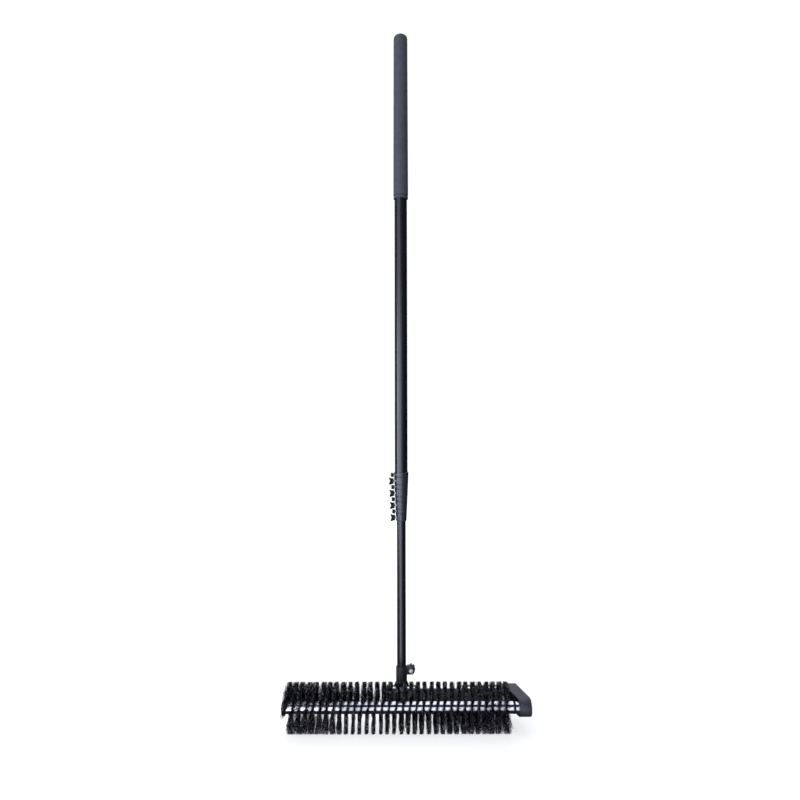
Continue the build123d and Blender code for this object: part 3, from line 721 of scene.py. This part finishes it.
def tip_spread(turns, upward):
    """How far the tips stand from the winding's middle: more near the brush's ends, above all below."""
    flare = LEFT_FLARE * np.sqrt(fade(turns, LEFT_FLARE_TURNS)) * np.clip(turns / TIGHT_TURNS, 0, 1)
    flare += RIGHT_FLARE * fade(STRIP_TURNS - turns, RIGHT_FLARE_TURNS)
    fan = UPPER_FAN * np.clip(upward, 0, 1)
    return TIP_SPREAD * (1 + fan + flare * (FLARE_LEVEL - FLARE_DROP * upward))


def brush_section(number, wander, random):
    """One length of the wound brush, with splayed strands at the brush's own two ends."""
    span = STRIP_TURNS / BRUSH_PIECES
    count = int(span * STRANDS_PER_TURN)
    turns = span * number + span * (np.arange(count) + random.uniform(0, 1, count)) / count
    across = random.uniform(-1, 1, count)
    clump = (turns * CLUMPS_PER_TURN).astype(int) - int(span * number * CLUMPS_PER_TURN)
    clump_offset = random.normal(0, 1, (clump.max() + 1, 3))[clump]
    # each clump's strength for the glints painted into the bristles' colour
    clump_glint = random.uniform(0, 1, clump.max() + 1)[clump] ** CLUMP_GLINT_CONTRAST

    # how far each tip leans along the roller
    upward = np.sin(TURN * turns)
    lean = across * (tip_spread(turns, upward) - ROOT_SPREAD) + random.normal(0, LEAN, count)
    lean += CLUMP_LEAN * clump_offset[:, 0] + np.interp(turns, *wander)
    to_right = STRIP_TURNS - turns
    at_left, at_right = fade(turns, SPLAY_TURNS), fade(to_right, SPLAY_TURNS)
    splay = SPLAY * random.uniform(*SPLAY_RANGE, count)
    lean += splay * (at_right * (RIGHT_SPLAY - RIGHT_SPLAY_DROP * upward) - LEFT_SPLAY * at_left)
    lean += SAG * fade(to_right, SAG_TURNS) * np.clip(-upward, 0, 1)
    stray = random.uniform(0, 1, count) < STRAY_SHARE
    stray_lean = np.where(stray, random.uniform(0, STRAY_LEAN, count), 0)
    lean += stray_lean * (np.sign(at_right) - np.sign(at_left))

    # how far it sways round the roller, and how far out it reaches
    to_clump = (np.floor(turns * CLUMPS_PER_TURN) + 0.5) / CLUMPS_PER_TURN - turns
    sway = random.normal(0, SWAY, count) + CLUMP_SWAY * clump_offset[:, 1]
    sway += CLUMP_PULL * TURN * BRUSH_RADIUS * to_clump
    ragged = np.abs(random.normal(0, RAGGED, count) + CLUMP_RAGGED * clump_offset[:, 2])
    reach = BRUSH_RADIUS - ragged - TIP_CLEARANCE
    curl = random.normal(0, CURVE, count)

    vertices, faces, each = strand_mesh(turns, across, reach, lean, sway, curl, random)
    # strength of the painted glints on each strand, kept on its vertices for the bristles' colour
    clump_glint_strength = DIMMEST_CLUMP_GLINT + (1 - DIMMEST_CLUMP_GLINT) * clump_glint
    glint_strengths = np.repeat(clump_glint_strength * random.uniform(DIMMEST_STRAND_GLINT, 1, count), each)
    piece = new_piece(f"brush_section_{number + 1}", vertices, faces, "bristles", "roller", "bristle_helix")
    glint_attribute = piece.data.attributes.new(STRAND_GLINT, "FLOAT", "POINT")
    glint_attribute.data.foreach_set("value", glint_strengths.astype(np.float32))


brush_random = np.random.default_rng(BRUSH_SEED)
winding = uneven_winding(brush_random)
for number in range(BRUSH_PIECES):
    brush_section(number, winding, brush_random)

# ---- camera ----
CAMERA_X = -2.05 * MM
CAMERA_DISTANCE = 1222 * MM
CAMERA_HEIGHT = 595.7 * MM
CAMERA_ROLL = math.radians(0.1)
CAMERA_LENS = 29.25
CAMERA_SENSOR = 36
CAMERA_SEES_TO = 50
FLOOR_Z = brush_low.z
camera = bpy.data.objects.new("camera", bpy.data.cameras.new("camera"))
bpy.context.scene.collection.objects.link(camera)
camera.location = (CAMERA_X, -CAMERA_DISTANCE, FLOOR_Z + CAMERA_HEIGHT)
camera.rotation_euler = (math.pi / 2, CAMERA_ROLL, 0)
camera.data.lens = CAMERA_LENS
camera.data.sensor_width = CAMERA_SENSOR
camera.data.clip_end = CAMERA_SEES_TO
bpy.context.scene.camera = camera

# ---- studio lights ----
PANEL_TINT = (0.80, 0.83, 1.0)
PANEL_DISTANCE = 1.7
ROLLER_MIDDLE = Vector((0, AXIS_Y, AXIS_Z))
OVERHEAD_PLACE = ROLLER_MIDDLE + Vector((0, 0.824, 1.371))


def panel(name, place, target, width, tall, brightness):
    """Rectangular light at a place that faces a target, as bright as a screen of that radiance."""
    data = bpy.data.lights.new(name, "AREA")
    data.shape = "RECTANGLE"
    data.size = width
    data.size_y = tall
    data.energy = brightness * math.pi * width * tall
    data.color = PANEL_TINT
    light = bpy.data.objects.new(name, data)
    bpy.context.scene.collection.objects.link(light)
    light.location = place
    light.rotation_euler = (target - place).to_track_quat("-Z", "Y").to_euler()
    light.visible_camera = False


def upright_panel(name, azimuth, low, high, width, brightness):
    """Panel that faces the pole. Azimuth 0 is the camera's side, and 90 is the object's right."""
    angle = math.radians(azimuth)
    middle = FLOOR_Z + (low + high) / 2
    place = Vector((PANEL_DISTANCE * math.sin(angle), -PANEL_DISTANCE * math.cos(angle), middle))
    panel(name, place, Vector((0, 0, middle)), width, high - low, brightness)


upright_panel("key", azimuth=-62, low=0.0, high=0.95, width=1.0, brightness=6.5)
upright_panel("left_front", azimuth=-25, low=-0.9, high=1.0, width=1.0, brightness=3.9)
upright_panel("front", azimuth=6, low=-0.9, high=1.0, width=0.7, brightness=1.6)
upright_panel("upper_left", azimuth=-42, low=1.0, high=2.6, width=1.8, brightness=1.4)
panel("overhead", OVERHEAD_PLACE, ROLLER_MIDDLE, width=1.4, tall=3.2, brightness=1.6)

# ---- world: one brightness behind the object, one in its reflections, one for the rest ----
AMBIENT = 0.25
SHINE = 0.02
BACKDROP = 1.05
WHITE = (1, 1, 1, 1)
world = bpy.data.worlds.new("studio")
bpy.context.scene.world = world
world.use_nodes = True
world_tree = world.node_tree
background = world_tree.nodes["Background"]
background.inputs["Color"].default_value = WHITE
seen = world_tree.nodes.new("ShaderNodeLightPath")
seen_part = math_node(world_tree, "MULTIPLY", seen.outputs["Is Camera Ray"], BACKDROP - AMBIENT)
shine_part = math_node(world_tree, "MULTIPLY", seen.outputs["Is Glossy Ray"], SHINE - AMBIENT)
both_parts = math_node(world_tree, "ADD", seen_part, shine_part)
strength = math_node(world_tree, "ADD", both_parts, AMBIENT)
world_tree.links.new(strength, background.inputs["Strength"])

# ---- floor: it glows more away from the object, until it meets the backdrop unseen ----
HALF_FLOOR = 15.0
FLOOR_CLOUD = 0.4
FLOOR_TONES = ((0.40, 0.40, 0.40), (0.42, 0.42, 0.42))
GLOW_REACH = (0.3, 0.9)
GLOW = (0.74, 1.0)
floor_mesh = bpy.data.meshes.new("floor")
floor_corners = [(HALF_FLOOR * x, HALF_FLOOR * y, 0) for x, y in ((-1, -1), (1, -1), (1, 1), (-1, 1))]
floor_mesh.from_pydata(floor_corners, [], [(0, 1, 2, 3)])
floor = bpy.data.objects.new("floor", floor_mesh)
bpy.context.scene.collection.objects.link(floor)
floor.location.z = FLOOR_Z
floor.parent = frame["bodies"]["lower_pole"]  # so it stays under the brush as the pole slides
floor_look = Look("pale_floor", roughness=0.9, specular=0.1)
floor_look.feed("Base Color", floor_look.mix(floor_look.noise(FLOOR_CLOUD, detail=3), *FLOOR_TONES))
floor_look.fixed("Emission Color", WHITE)
away = floor_look.node("VectorMath")
away.operation = "LENGTH"
floor_look.link(floor_look.space, away.inputs[0])
floor_look.feed("Emission Strength", floor_look.remap(away.outputs["Value"], GLOW_REACH, GLOW))
floor_mesh.materials.append(floor_look.material)
floor.visible_glossy = False
floor.visible_diffuse = False
floor.visible_shadow = False

bpy.context.scene.view_settings.view_transform = "Standard"
